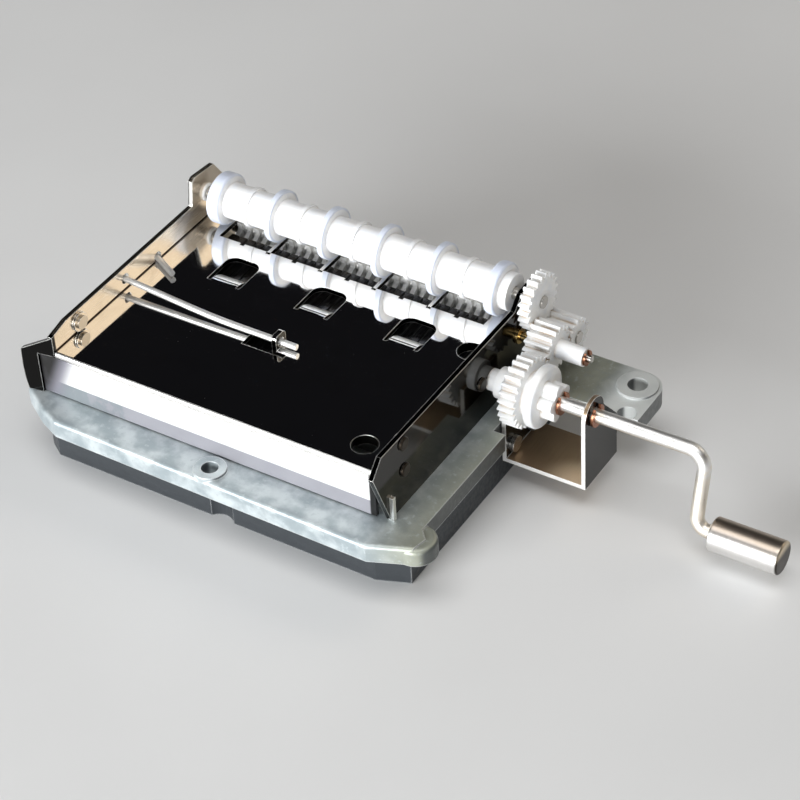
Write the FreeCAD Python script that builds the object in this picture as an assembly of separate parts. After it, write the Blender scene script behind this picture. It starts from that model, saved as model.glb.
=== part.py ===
import FreeCAD, Part
import math
import os

from FreeCAD import Vector

# Hand cranked movement that plays a punched paper strip, in millimetres.
# +X runs along the roller towards the crank, +Y from the front apron to the roller, +Z is up.
# The origin lies on the resting plane, midway between the side plates.

# Strip and notes
NOTES = 30
NOTE_PITCH = 2.0
NOTES_PER_BAY = 6
BAYS = NOTES // NOTES_PER_BAY
BAY_PITCH = NOTES_PER_BAY * NOTE_PITCH

# Chassis of bent sheet
CHANNEL_HALF = 35.5
SHEET = 1.0
PLATE_TOP_Z = 23.6
PLATE_BOTTOM_Z = PLATE_TOP_Z - SHEET
SIDE_GAP = 0.1
PLATE_HALF = CHANNEL_HALF - SIDE_GAP
FRONT_Y = -26.0
BACK_Y = 31.0
SIDE_OUTER = CHANNEL_HALF + SHEET
LEFT_SPAN = (-40.0, -30.0)
RIGHT_SPAN = (30.0, 40.0)
SIDE_TOP_Z = 29.05
LEFT_TOP_Z = 28.4
LEFT_FOLD = (-26.1, 27.0)
WING_TIP = (-43.4, -27.3)
WING_EDGE = [(-42.6, 22.9), (-42.75, 18.9), (-42.6, 15.8), (-42.2, 13.5)]
WING_COLUMN_X = -39.1
APRON_CLEAR = (-25.3, 22.65)
LEFT_CREST = [(-21.5, 28.1), (18.6, LEFT_TOP_Z), (19.4, 33.6), (20.4, 34.2), (26.6, 33.6),
              (29.4, 29.6), (BACK_Y, 27.0)]
RIGHT_CREST = [(-30.2, 25.9), (-27.3, SIDE_TOP_Z), (18.2, SIDE_TOP_Z), (20.8, 31.6), (26.4, 31.6),
               (29.0, SIDE_TOP_Z), (BACK_Y, 26.5)]
RIGHT_FRONT_Y = -25.5
RIGHT_TAB = ((SIDE_OUTER - 0.5, 37.2), (-25.6, -24.8), 18.6)
PLATE_FOOT_HALF = 3.1
PLATE_FOOT_REACH = 3.2
SLOT_Y = (18.5, 29.9)
SLOT_REACH = BAY_PITCH / 2 - 0.35
NOTCH_DEPTH = 0.6
NOTCH_HALF = 0.5
LANCED = [(-20.1, 10.2), (-0.3, 10.2), (19.35, 10.1)]
LANCED_HALF = (3.7, 4.1)
LANCED_CORNER_R = 2.2
TONGUE_HALF = 2.9
TONGUE_SHEET = 0.7
TONGUE_CURVE = [(-0.2, 0.0), (2.0, 0.35), (3.9, 1.5)]
ACCESS_R = 2.5
COLLAR_R = 3.0
EAR_HALF = 1.65
EAR_SHEET = 0.8
APRON_X = (-39.0, 34.0)
APRON_Z = (13.8, 22.55)
CUT_OVERRUN = 0.5
TOLERANCE = 0.01

# Die cast base
FLANGE_TOP_Z = 13.5
FLANGE_BOTTOM_Z = 9.8
FLANGE_HALF = 42.5
FLANGE_FRONT = [(-36.8, -30.75), (-32.2, -32.75), (36.0, -33.35), (43.6, -30.2)]
FLANGE_LEFT_FRONT_Y = -27.1
FLANGE_BACK_Y = 31.5
RECESS_X = 40.1
RECESS_FRONT_Y = 3.6
LUG_X = 61.5
LUG_FRONT_Y = 18.4
FLANGE_CORNER_R = 4.5
FLANGE_FRONT_RIM_R = 0.8
FOOT_LEFT_X = -39.5
FOOT_FRONT_Y = -28.0
FOOT_BACK_Y = 28.5
FOOT_CORNER_R = 2.0
CAVITY_TOP_Z = 8.0
CAVITY_Y = (-25.0, 25.5)
CAVITY_REACH = (-36.5, 37.1)
CAVITY_CORNER_R = 2.5
RIB_HALF = 2.0
LOBE = (42.3, -26.9, 3.9)
LOBE_TOP_Z = 13.2
LOBE_CROWN_R = 1.0
LUG_NOTCH = (58.8, 19.4, 1.8)
RING_HEIGHT = 0.6
FRONT_HOLE = (1.1, -29.9, 1.6, 3.1)
LUG_HOLE = (57.05, 26.9, 1.9, 3.9)
LEFT_HOLE = (-39.2, 25.8, 1.6, 2.5)

# Screws and rivets
SCREW_R = 0.9
FOOT_SCREWS = [(28.5, -20.4), (31.4, 10.7), (-39.1, -14.0), (-39.1, 10.0)]
FOOT_SCREW_HEAD_R = 2.0
COMB_SCREW_X = [-24.0, -12.0, 0.0, 12.0, 24.0]
COMB_SCREW_Y = -8.0
COMB_SCREW_HEAD_R = 1.9
BRACKET_SCREW_Y = [8.6, 15.4]
BRACKET_SCREW_Z = 7.4
BRACKET_SCREW_HEAD_R = 1.6
RIVET_R = 0.8
RIVET_HEAD_R = 1.35
RIVET_HEAD = 0.5
EAR_RIVETS = [(-20.4, 21.2), (5.9, 21.2)]
LEFT_GUIDE = (-18.1, 25.6)
LEFT_GUIDE_BOSS_R = 1.9
RIGHT_GUIDE = (-20.4, 27.1)

# Shafts and gears
MODULE = 0.5
PRESSURE_ANGLE = math.radians(25.0)
ADDENDUM = 0.8 * MODULE
DEDENDUM = 1.05 * MODULE
BACKLASH = 0.06
CRANK_TEETH = 26
IDLER_TEETH = 16
PINION_TEETH = 14
ROLLER_TEETH = 21
ROLLER_Y = 23.6
ROLLER_Z = 28.9
DRIVE_LEAN = math.radians(20.4)
DRIVE_DROP = MODULE * (PINION_TEETH + ROLLER_TEETH) / 2
DRIVE_Y = ROLLER_Y + DRIVE_DROP * math.sin(DRIVE_LEAN)
DRIVE_Z = ROLLER_Z - DRIVE_DROP * math.cos(DRIVE_LEAN)
CRANK_Y = 9.5
CRANK_Z = 19.9
SHAFT_R = 1.2
SHAFT_LEFT_X = -37.6
BUSH_R = 1.8
ROD_R = 1.3
CRANK_BUSH_R = 1.9
CRANK_BUSH_COLLAR = (2.1, 38.4)
CRANK_BUSH_FLANGE = (3.0, 40.1)
PIN_R = 0.75
RUNNING = 0.05
FIXED = 0.02
CRANK_GEAR_X = (41.5, 44.8)
IDLER_GEAR_X = (39.6, 44.8)
ROLLER_GEAR_X = (37.1, 39.3)
PINION_X = (37.1, 44.9)
IDLER_HUB_R = 1.8
IDLER_HUB_END_X = 50.3
PIN_END_X = 51.7
IDLER_CLIP_X = 50.4
SPACER_STEP_X = 36.95
CRANK_NECK_R = 4.4
CRANK_DISC_R = 6.0
CRANK_DISC_X = (46.0, 47.8)
CRANK_HUB_R = 2.7
CRANK_HUB_END_X = 50.6
CRANK_LOBES = 5
CRANK_LOBE_R = 1.2
CRANK_LOBE_REACH = 2.5
CRANK_LOBE_TURN = 0.3

# Roller and star wheels
ROLLER_X = (-32.2, 33.4)
CORE_R = 3.6
RING_R = 5.2
RING_WIDTH = 1.1
NUB_R = 4.0
NUB_WIDTH = 0.8
DRUM_X = 29.45
DRUM_END_X = 31.6
STAR_R = 3.35
STAR_ROOT_R = 2.1
STAR_POINTS = 8
STAR_WIDTH = 1.0
STAR_HUB_R = 1.7
STAR_HUB_WIDTH = 1.9
COLLAR_WIDTH = 1.5

# Comb
COMB_TOP_Z = 21.2
COMB_BOTTOM_Z = 20.1
COMB_BACK_Y = -12.0
COMB_TIP_Y = 22.9
RAIL_HALF = 32.0
RAIL_Y = (-12.0, -1.0)
TOOTH_GAP = 0.4
TREBLE_ROOT_LEAD = 9.0
COMB_RELIEF = 0.3
WEIGHTED_NOTES = 12
WEIGHT_HALF = 0.7
WEIGHT_Y = (17.6, 21.6)
WEIGHT_DEPTH = 2.2
WEIGHT_STEP = 0.1

# Bracket and crank
BRACKET_SHEET = 0.8
BRACKET_X = (40.4, 57.5)
BRACKET_Y = (6.0, 18.1)
BRACKET_FLOOR_Z = 4.7
BRACKET_LEFT_TOP_Z = 18.2
CRANK_EAR_R = 3.5
ARM_X = 79.5
KNOB_Y = 6.0
KNOB_Z = 5.6
KNOB_X = (82.9, 96.4)
KNOB_R = 3.2
CRANK_START_X = 34.6
CRANK_END_X = 94.4
CRANK_BEND_R = 3.4
KNOB_BEND_R = 2.4
KNOB_BORE_END_X = 94.8
KNOB_RIM_R = 0.45
CRANK_CLIP_X = (50.8, 57.8)
CRANK_CLIP_R = 2.2

# Sprung wire
WIRE_R = 0.6
WIRE_Y = -4.5
WIRE_Z = 24.7
WIRE_HOLES = [(-3.65, 25.85), (6.45, 24.35)]
WIRE_CLEARANCE = 0.45
WIRE_SHORT_END = (-29.8, 3.3, 24.4)
WIRE_OUTSIDE = [(7.4, 24.35), (-3.6, 25.93)]
WIRE_BEND_R = 1.3
WIRE_SWEEP_R = 150.0

PARTS = {}


def box(xs, ys, zs):
    """Block between two values on each axis."""
    size = [b - a for a, b in (xs, ys, zs)]
    return Part.makeBox(size[0], size[1], size[2], Vector(xs[0], ys[0], zs[0]))


def plan(points, zs):
    """Upright prism over a plan outline of (x, y) points."""
    corners = [Vector(x, y, zs[0]) for x, y in points]
    face = Part.Face(Part.makePolygon(corners + corners[:1]))
    return face.extrude(Vector(0, 0, zs[1] - zs[0]))


def profile(points, xs):
    """Prism along X over a side outline of (y, z) points."""
    corners = [Vector(xs[0], y, z) for y, z in points]
    face = Part.Face(Part.makePolygon(corners + corners[:1]))
    return face.extrude(Vector(xs[1] - xs[0], 0, 0))


def elevation(points, ys):
    """Prism along Y over a front outline of (x, z) points."""
    corners = [Vector(x, ys[0], z) for x, z in points]
    face = Part.Face(Part.makePolygon(corners + corners[:1]))
    return face.extrude(Vector(0, ys[1] - ys[0], 0))


def rod(radius, xs, y, z):
    """Round bar along X."""
    return Part.makeCylinder(radius, xs[1] - xs[0], Vector(xs[0], y, z), Vector(1, 0, 0))


def tube(outer, inner, xs, y, z):
    """Round tube along X."""
    return rod(outer, xs, y, z).cut(rod(inner, xs, y, z))


def post(radius, x, y, zs):
    """Round bar along Z."""
    return Part.makeCylinder(radius, zs[1] - zs[0], Vector(x, y, zs[0]))


def merge(shapes):
    """One solid from touching or overlapping shapes."""
    return shapes[0].multiFuse(shapes[1:]).removeSplitter()


def across(shape, x, y, z):
    """Turn a shape drawn in the XY plane so that its normal lies along +X."""
    shape.Placement = FreeCAD.Placement(Vector(x, y, z), FreeCAD.Rotation(Vector(1, 1, 1), 120))
    return shape


def polar(radius, angle):
    """Point at a radius and angle in the XY plane."""
    return Vector(radius * math.cos(angle), radius * math.sin(angle), 0)


def rounded_path(points, radii):
    """Straight runs joined by tangent arcs, as one wire."""
    edges = []
    start = points[0]
    for before, corner, after, radius in zip(points, points[1:], points[2:], radii):
        inward = (corner - before).normalize()
        outward = (after - corner).normalize()
        half_turn = inward.getAngle(outward) / 2
        reach = radius * math.tan(half_turn)
        to_centre = (outward - inward).normalize()
        arc_start = corner - inward * reach
        arc_middle = corner + to_centre * (radius / math.cos(half_turn) - radius)
        arc_end = corner + outward * reach
        edges.append(Part.LineSegment(start, arc_start).toShape())
        edges.append(Part.Arc(arc_start, arc_middle, arc_end).toShape())
        start = arc_end
    edges.append(Part.LineSegment(start, points[-1]).toShape())
    return Part.Wire(edges)


def bent_bar(points, radii, bar_radius):
    """Round bar that follows rounded_path."""
    section = Part.Circle(points[0], points[1] - points[0], bar_radius).toShape()
    return rounded_path(points, radii).makePipeShell([Part.Wire(section)], True, False)


def clip(x, y, z, inner, outer, thickness):
    """Open retaining ring in a shaft's groove."""
    ring = tube(outer, inner, (x, x + thickness), y, z)
    mouth = box((x, x + thickness), (y - inner * 0.7, y + inner * 0.7), (z, z + outer))
    return ring.cut(mouth)


def slotted_screw(x, y, seat_z, head_radius, head_height, shank_radius, shank_length):
    """Cheese head screw that points down."""
    head = post(head_radius, x, y, (seat_z, seat_z + head_height))
    slot_half = 0.3
    slot_z = (seat_z + head_height * 0.5, seat_z + head_height)
    slot = box((x - head_radius, x + head_radius), (y - slot_half, y + slot_half), slot_z)
    shank = post(shank_radius, x, y, (seat_z - shank_length, seat_z))
    return merge([head.cut(slot), shank])


def idler_centre():
    """Idler place, from its distances to the crank and the drive shaft."""
    to_crank = MODULE * (CRANK_TEETH + IDLER_TEETH) / 2
    to_drive = MODULE * (IDLER_TEETH + PINION_TEETH) / 2
    span = math.hypot(DRIVE_Y - CRANK_Y, DRIVE_Z - CRANK_Z)
    along = (to_crank ** 2 - to_drive ** 2 + span ** 2) / (2 * span)
    rise = math.sqrt(to_crank ** 2 - along ** 2)
    slope = math.atan2(DRIVE_Z - CRANK_Z, DRIVE_Y - CRANK_Y)
    y = CRANK_Y + along * math.cos(slope) - rise * math.sin(slope)
    z = CRANK_Z + along * math.sin(slope) + rise * math.cos(slope)
    return y, z


IDLER_Y, IDLER_Z = idler_centre()


def meshed_phase(teeth, phase, centre, next_teeth, next_centre):
    """Angle of a tooth of the next gear, so that it meets a gap of this one."""
    line = math.atan2(next_centre[1] - centre[1], next_centre[0] - centre[0])
    offset = (phase - line) * teeth / (2 * math.pi)
    return line + math.pi + (0.5 - offset) * 2 * math.pi / next_teeth


def tooth_flank(teeth):
    """Radius and half angle of one involute flank, from the root outwards."""
    pitch_r = MODULE * teeth / 2
    base_r = pitch_r * math.cos(PRESSURE_ANGLE)
    root_r = pitch_r - DEDENDUM
    half_pitch_angle = (math.pi * MODULE / 2 - BACKLASH) / (2 * pitch_r)
    involute = math.tan(PRESSURE_ANGLE) - PRESSURE_ANGLE
    first_r = max(base_r, root_r)
    steps = 3
    flank = []
    for step in range(steps + 1):
        radius = first_r + (pitch_r + ADDENDUM - first_r) * step / steps
        local = math.acos(min(1.0, base_r / radius))
        flank.append((radius, half_pitch_angle + involute - math.tan(local) + local))
    if root_r < first_r:
        flank.insert(0, (root_r, flank[0][1]))
    return flank


def flank_edges(points, has_radial_foot):
    """Edges of a flank: a straight foot below the base circle and a smooth involute."""
    edges = []
    if has_radial_foot:
        edges.append(Part.LineSegment(points[0], points[1]).toShape())
        points = points[1:]
    curve = Part.BSplineCurve()
    curve.interpolate(points)
    edges.append(curve.toShape())
    return edges


def gear_blank(teeth, phase, xs, y, z):
    """Spur gear disc along X, with a tooth centred on the phase angle."""
    flank = tooth_flank(teeth)
    root_r = flank[0][0]
    tip_r = flank[-1][0]
    has_foot = MODULE * teeth / 2 * math.cos(PRESSURE_ANGLE) > root_r
    step = 2 * math.pi / teeth
    edges = []
    for tooth in range(teeth):
        middle = phase + tooth * step
        rising = [polar(radius, middle - angle) for radius, angle in flank]
        falling = [polar(radius, middle + angle) for radius, angle in flank]
        next_root = polar(root_r, middle + step - flank[0][1])
        edges += flank_edges(rising, has_foot)
        edges.append(Part.Arc(rising[-1], polar(tip_r, middle), falling[-1]).toShape())
        edges += flank_edges(falling, has_foot)
        edges.append(Part.Arc(falling[0], polar(root_r, middle + step / 2), next_root).toShape())
    face = Part.Face(Part.Wire(Part.__sortEdges__(edges)))
    return across(face.extrude(Vector(0, 0, xs[1] - xs[0])), xs[0], y, z)


def flange():
    """Base flange with clipped front corners, a bracket recess and the rear lug."""
    lobe_x, lobe_y, lobe_r = LOBE
    outline = [(-FLANGE_HALF, FLANGE_LEFT_FRONT_Y)] + FLANGE_FRONT + [
        (lobe_x + lobe_r / 2, lobe_y), (FLANGE_HALF, lobe_y + lobe_r / 2), (FLANGE_HALF, RECESS_FRONT_Y),
        (RECESS_X, RECESS_FRONT_Y), (RECESS_X, LUG_FRONT_Y), (LUG_X, LUG_FRONT_Y),
        (LUG_X, FLANGE_BACK_Y), (-FLANGE_HALF, FLANGE_BACK_Y)]
    slab = plan(outline, (FLANGE_BOTTOM_Z, FLANGE_TOP_Z))
    corners = upright_edges(slab, [(LUG_X, FLANGE_BACK_Y), (-FLANGE_HALF, FLANGE_BACK_Y)])
    slab = slab.makeFillet(FLANGE_CORNER_R, corners)
    rim = [edge for edge in slab.Edges if edge.BoundBox.ZMin > FLANGE_TOP_Z - TOLERANCE]
    front = [edge for edge in rim if edge.BoundBox.YMax < FLANGE_LEFT_FRONT_Y + TOLERANCE]
    return slab.makeFillet(FLANGE_FRONT_RIM_R, front)


def upright_edges(shape, places):
    """Vertical edges of a shape at given (x, y) places."""
    found = []
    for edge in shape.Edges:
        span = edge.BoundBox
        for x, y in places:
            if span.ZLength > 1 and math.hypot(span.Center.x - x, span.Center.y - y) < 0.1:
                found.append(edge)
    return found


def pedestal():
    """Hollow foot below the flange, open underneath."""
    outline = [(FOOT_LEFT_X, -26.0), (-36.5, FOOT_FRONT_Y), (34.0, FOOT_FRONT_Y), (RECESS_X, -25.6),
               (RECESS_X, FOOT_BACK_Y), (FOOT_LEFT_X, FOOT_BACK_Y)]
    body = plan(outline, (0, FLANGE_BOTTOM_Z))
    rear = upright_edges(body, [(RECESS_X, FOOT_BACK_Y), (FOOT_LEFT_X, FOOT_BACK_Y)])
    body = body.makeFillet(FOOT_CORNER_R, rear)
    cavities = []
    for xs in ((CAVITY_REACH[0], -RIB_HALF), (RIB_HALF, CAVITY_REACH[1])):
        cavity = box(xs, CAVITY_Y, (0, CAVITY_TOP_Z))
        corners = [(x, y) for x in xs for y in CAVITY_Y]
        cavities.append(cavity.makeFillet(CAVITY_CORNER_R, upright_edges(cavity, corners)))
    return body.cut(cavities)


def corner_lobe():
    """Rounded lobe that stands out beside the front right corner, a little below the flange's top."""
    x, y, radius = LOBE
    lobe = post(radius, x, y, (FLANGE_BOTTOM_Z, LOBE_TOP_Z))
    crown = [edge for edge in lobe.Edges if edge.BoundBox.ZMin > LOBE_TOP_Z - TOLERANCE]
    return lobe.makeFillet(LOBE_CROWN_R, crown)


def make_base():
    shapes = [flange(), pedestal(), corner_lobe()]
    holes = []
    for x, y, hole_r, ring_r in (FRONT_HOLE, LUG_HOLE, LEFT_HOLE):
        shapes.append(post(ring_r, x, y, (FLANGE_BOTTOM_Z, FLANGE_TOP_Z + RING_HEIGHT)))
        holes.append(post(hole_r, x, y, (FLANGE_BOTTOM_Z, FLANGE_TOP_Z + RING_HEIGHT)))
        holes.append(post(ring_r, x, y, (0, FLANGE_BOTTOM_Z)))
    notch_x, notch_y, notch_r = LUG_NOTCH
    holes.append(post(notch_r, notch_x, notch_y, (FLANGE_BOTTOM_Z, FLANGE_TOP_Z)))
    for x, y in FOOT_SCREWS:
        holes.append(post(SCREW_R + RUNNING, x, y, (FLANGE_BOTTOM_Z - CUT_OVERRUN, FLANGE_TOP_Z)))
    for x in COMB_SCREW_X:
        holes.append(post(SCREW_R + RUNNING, x, COMB_SCREW_Y, (FLANGE_BOTTOM_Z, FLANGE_TOP_Z)))
    for y in BRACKET_SCREW_Y:
        holes.append(rod(SCREW_R + RUNNING, (RECESS_X - 2.6, RECESS_X), y, BRACKET_SCREW_Z))
    PARTS["base_casting"] = merge(shapes).cut(holes).removeSplitter()


def folded_left_plan():
    """Plan of the left plate: a straight run and a guide wing folded outwards at the front."""
    fold_y = LEFT_FOLD[0]
    tip_x, tip_y = WING_TIP
    wing = Vector(tip_x + CHANNEL_HALF, tip_y - fold_y, 0).normalize()
    normal = Vector(wing.y, -wing.x, 0)
    mitre = SHEET * math.tan(wing.getAngle(Vector(0, -1, 0)) / 2)
    return [(-CHANNEL_HALF, BACK_Y), (-CHANNEL_HALF, fold_y), (tip_x, tip_y),
            (tip_x + normal.x * SHEET, tip_y + normal.y * SHEET),
            (-SIDE_OUTER, fold_y + mitre), (-SIDE_OUTER, BACK_Y)]


def bearing_holes(xs):
    """Holes for the roller and drive shaft bushes."""
    radius = BUSH_R + FIXED
    return [rod(radius, xs, ROLLER_Y, ROLLER_Z), rod(radius, xs, DRIVE_Y, DRIVE_Z)]


def rivet_holes(xs, guide):
    """Holes for the plate rivets and the guide rivet."""
    places = EAR_RIVETS + [guide]
    return [rod(RIVET_R + FIXED, xs, y, z) for y, z in places]


def make_left_side_plate():
    bottom_z = FLANGE_TOP_Z
    clear_y, clear_z = APRON_CLEAR
    outline = [(clear_y, bottom_z), (clear_y, clear_z), (LEFT_FOLD[0], clear_z), LEFT_FOLD]
    outline += LEFT_CREST + [(BACK_Y, bottom_z)]
    wing_outline = [(-CHANNEL_HALF, LEFT_FOLD[1])] + WING_EDGE + [
        (WING_COLUMN_X, bottom_z), (WING_COLUMN_X, clear_z), (-CHANNEL_HALF, clear_z)]
    blank = plan(folded_left_plan(), (bottom_z, 36))
    side = blank.common(profile(outline, (-SIDE_OUTER, -CHANNEL_HALF)))
    wing = blank.common(elevation(wing_outline, (-30, LEFT_FOLD[0] + 1)))
    boss_y, boss_z = LEFT_GUIDE
    boss = rod(LEFT_GUIDE_BOSS_R, (-CHANNEL_HALF, -CHANNEL_HALF + RIVET_HEAD), boss_y, boss_z)
    feet = []
    for x, y in FOOT_SCREWS[2:]:
        ys = (y - PLATE_FOOT_HALF, y + PLATE_FOOT_HALF)
        feet.append(box((x - PLATE_FOOT_REACH, -CHANNEL_HALF - SHEET / 2), ys, (bottom_z, bottom_z + SHEET)))
    shape = merge([side, wing, boss] + feet)
    holes = bearing_holes(LEFT_SPAN) + rivet_holes(LEFT_SPAN, LEFT_GUIDE)
    for y, z in WIRE_HOLES:
        holes.append(rod(WIRE_R + WIRE_CLEARANCE, LEFT_SPAN, y, z))
    for x, y in FOOT_SCREWS[2:]:
        holes.append(post(SCREW_R + RUNNING, x, y, (bottom_z, bottom_z + SHEET)))
    PARTS["left_side_plate"] = shape.cut(holes)


def make_right_side_plate():
    bottom_z = FLANGE_TOP_Z
    outline = [(RIGHT_FRONT_Y, bottom_z)] + RIGHT_CREST + [(BACK_Y, bottom_z)]
    sheet = profile(outline, (CHANNEL_HALF, SIDE_OUTER))
    tab_xs, tab_ys, tab_top_z = RIGHT_TAB
    front_tab = box(tab_xs, tab_ys, (bottom_z, tab_top_z))
    feet = []
    for x, y in FOOT_SCREWS[:2]:
        ys = (y - PLATE_FOOT_HALF, y + PLATE_FOOT_HALF)
        feet.append(box((x - PLATE_FOOT_REACH, CHANNEL_HALF + SHEET / 2), ys, (bottom_z, bottom_z + SHEET)))
    shape = merge([sheet, front_tab] + feet)
    holes = bearing_holes(RIGHT_SPAN) + rivet_holes(RIGHT_SPAN, RIGHT_GUIDE)
    holes.append(rod(CRANK_BUSH_R + FIXED, RIGHT_SPAN, CRANK_Y, CRANK_Z))
    holes.append(rod(PIN_R + FIXED, RIGHT_SPAN, IDLER_Y, IDLER_Z))
    for x, y in FOOT_SCREWS[:2]:
        holes.append(post(SCREW_R + RUNNING, x, y, (bottom_z, bottom_z + SHEET)))
    PARTS["right_side_plate"] = shape.cut(holes)


def bay_centres():
    return [(bay - (BAYS - 1) / 2) * BAY_PITCH for bay in range(BAYS)]


def lanced_window(x, y):
    """Square opening with rounded rear corners."""
    half_x, half_y = LANCED_HALF
    depth = (PLATE_BOTTOM_Z - CUT_OVERRUN, PLATE_TOP_Z + CUT_OVERRUN)
    opening = box((x - half_x, x + half_x), (y - half_y, y + half_y), depth)
    rear = upright_edges(opening, [(x - half_x, y + half_y), (x + half_x, y + half_y)])
    return opening.makeFillet(LANCED_CORNER_R, rear)


def lanced_tongue(x, y):
    """Curved tongue that dips from the front edge of a window."""
    root = y - LANCED_HALF[1]
    lower = Vector(0, 0, -TONGUE_SHEET)
    top = [Vector(x - TONGUE_HALF, root + along, PLATE_TOP_Z - dip) for along, dip in TONGUE_CURVE]
    low = [point + lower for point in top]
    edges = [Part.Arc(top[0], top[1], top[2]).toShape(),
             Part.LineSegment(top[2], low[2]).toShape(),
             Part.Arc(low[2], low[1], low[0]).toShape(),
             Part.LineSegment(low[0], top[0]).toShape()]
    return Part.Face(Part.Wire(edges)).extrude(Vector(2 * TONGUE_HALF, 0, 0))


def wire_hook():
    """Upright lug with a hole that the paper guide wire passes through."""
    y0 = WIRE_Y - 1.6
    lug = box((-0.6, 0.4), (y0, WIRE_Y + 1.6), (PLATE_BOTTOM_Z, WIRE_Z + 1.9))
    rounded = upright_crown(lug)
    root = box((-0.6, 2.8), (y0, WIRE_Y + 1.6), (PLATE_BOTTOM_Z, PLATE_TOP_Z))
    eye = rod(WIRE_R + 0.25, (-2, 2), WIRE_Y, WIRE_Z)
    return merge([rounded, root]).cut(eye)


def upright_crown(lug):
    """Round the two top corners of a lug that faces X."""
    span = lug.BoundBox
    crown = [edge for edge in lug.Edges
             if edge.BoundBox.XLength > 0.5 and edge.BoundBox.ZMin > span.ZMax - 0.01]
    return lug.makeFillet(1.0, crown)


def make_top_plate():
    """Table that the paper strip slides over."""
    sheet = box((-PLATE_HALF, PLATE_HALF), (FRONT_Y, BACK_Y), (PLATE_BOTTOM_Z, PLATE_TOP_Z))
    front_top = [edge for edge in sheet.Edges
                 if edge.BoundBox.YMax < FRONT_Y + 0.01 and edge.BoundBox.ZMin > PLATE_TOP_Z - 0.01]
    sheet = sheet.makeFillet(0.6, front_top)
    through = (PLATE_BOTTOM_Z - CUT_OVERRUN, PLATE_TOP_Z + CUT_OVERRUN)
    cuts = [box((x - SLOT_REACH, x + SLOT_REACH), SLOT_Y, through) for x in bay_centres()]
    for x in (position * BAY_PITCH / 2 for position in range(-4, 5)):
        cuts.append(box((x - NOTCH_HALF, x + NOTCH_HALF), (SLOT_Y[0] - NOTCH_DEPTH, SLOT_Y[0]), through))
    cuts += [lanced_window(x, y) for x, y in LANCED]
    cuts.append(box((-6.7, 2.5), (WIRE_Y - 2.7, WIRE_Y + 1.7), through))
    cuts += [post(ACCESS_R, x, y, (PLATE_BOTTOM_Z - 2 * SHEET, PLATE_TOP_Z)) for x, y in FOOT_SCREWS[:2]]
    collars = [post(COLLAR_R, x, y, (PLATE_BOTTOM_Z - SHEET, PLATE_BOTTOM_Z)) for x, y in FOOT_SCREWS[:2]]
    ears = []
    for y, z in EAR_RIVETS:
        for x in (-PLATE_HALF, PLATE_HALF - EAR_SHEET):
            ears.append(box((x, x + EAR_SHEET), (y - EAR_HALF, y + EAR_HALF), (z - 1.8, PLATE_BOTTOM_Z)))
    shape = merge([sheet] + collars + ears).cut(cuts)
    shape = merge([shape, wire_hook()] + [lanced_tongue(x, y) for x, y in LANCED])
    holes = [rod(RIVET_R + FIXED, (-40, 40), y, z) for y, z in EAR_RIVETS]
    PARTS["top_plate"] = shape.cut(holes)


def make_front_apron():
    front_y = FRONT_Y - 0.2
    face = box(APRON_X, (front_y, front_y + 0.8), APRON_Z)
    lip = box((-34.8, APRON_X[1]), (front_y, FRONT_Y + 2.4), (APRON_Z[1] - 0.8, APRON_Z[1]))
    PARTS["front_apron"] = merge([face, lip])


def rivet(side, y, z, grip):
    """Rivet through a side plate, with a domed head on each face."""
    outer = SIDE_OUTER
    inner = outer - grip
    body = rod(RIVET_R, (inner, outer), y, z)
    outer_head = rod(RIVET_HEAD_R, (outer, outer + RIVET_HEAD), y, z)
    crown = [edge for edge in outer_head.Edges if edge.BoundBox.XMin > outer + TOLERANCE]
    outer_head = outer_head.makeFillet(0.35, crown)
    inner_head = rod(RIVET_HEAD_R, (inner - RIVET_HEAD, inner), y, z)
    shape = merge([body, outer_head, inner_head])
    return shape if side > 0 else shape.mirror(Vector(0, 0, 0), Vector(1, 0, 0))


def make_rivets():
    ear_grip = SIDE_OUTER - PLATE_HALF + EAR_SHEET
    rivets = [rivet(side, y, z, ear_grip) for side in (-1, 1) for y, z in EAR_RIVETS]
    rivets.append(rivet(1, RIGHT_GUIDE[0], RIGHT_GUIDE[1], SHEET))
    rivets.append(rivet(-1, LEFT_GUIDE[0], LEFT_GUIDE[1], SHEET + RIVET_HEAD))
    PARTS["side_plate_rivets"] = Part.makeCompound(rivets)


def make_screws():
    seat_z = FLANGE_TOP_Z + SHEET
    feet = [slotted_screw(x, y, seat_z, FOOT_SCREW_HEAD_R, 1.5, SCREW_R, 4.2) for x, y in FOOT_SCREWS]
    PARTS["frame_screws"] = Part.makeCompound(feet)
    length = COMB_TOP_Z - FLANGE_BOTTOM_Z - 0.5
    comb = [slotted_screw(x, COMB_SCREW_Y, COMB_TOP_Z, COMB_SCREW_HEAD_R, 1.1, SCREW_R, length)
            for x in COMB_SCREW_X]
    PARTS["comb_screws"] = Part.makeCompound(comb)
    inside_x = BRACKET_X[0] + BRACKET_SHEET
    bracket = []
    for y in BRACKET_SCREW_Y:
        head = rod(BRACKET_SCREW_HEAD_R, (inside_x, inside_x + 0.9), y, BRACKET_SCREW_Z)
        shank = rod(SCREW_R, (RECESS_X - 2.3, inside_x), y, BRACKET_SCREW_Z)
        bracket.append(merge([head, shank]))
    PARTS["bracket_screws"] = Part.makeCompound(bracket)


def comb_root(x):
    """Y where a tooth at x leaves the comb's body: bass teeth are the longest."""
    half_width = NOTES * NOTE_PITCH / 2
    return RAIL_Y[1] + TREBLE_ROOT_LEAD * (x + half_width) / (2 * half_width)


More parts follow.
